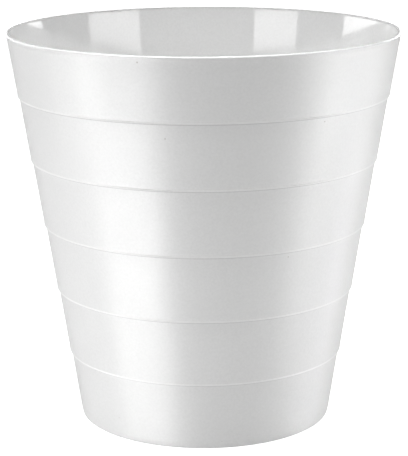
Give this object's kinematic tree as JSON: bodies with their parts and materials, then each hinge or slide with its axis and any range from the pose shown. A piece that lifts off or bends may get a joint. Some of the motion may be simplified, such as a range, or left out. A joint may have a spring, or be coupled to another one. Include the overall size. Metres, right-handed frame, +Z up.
{
  "type": "wastebasket",
  "caption": "Round open-topped wastebasket that tapers to its base in shallow stepped bands; a free-standing bin for paper and light office waste.",
  "frame": {"origin": "middle of the round footprint, on the surface that the wastebasket stands on", "axes": "+Z up along the axis of the round body; it looks the same from every side, so X and Y have no front"},
  "size_m": [0.28, 0.28, 0.2823],
  "materials": {
    "wall": "satin outside, polished inside",
    "rim": "polished",
    "base": "satin"
  },
  "bodies": {
    "root": {"rim_bead": "rim", "wall_band_1": "wall", "wall_band_2": "wall", "wall_band_3": "wall", "wall_band_4": "wall", "wall_band_5": "wall", "wall_band_6": "wall", "base_floor": "base", "foot_ring": "base"}
  },
  "joints": []
}
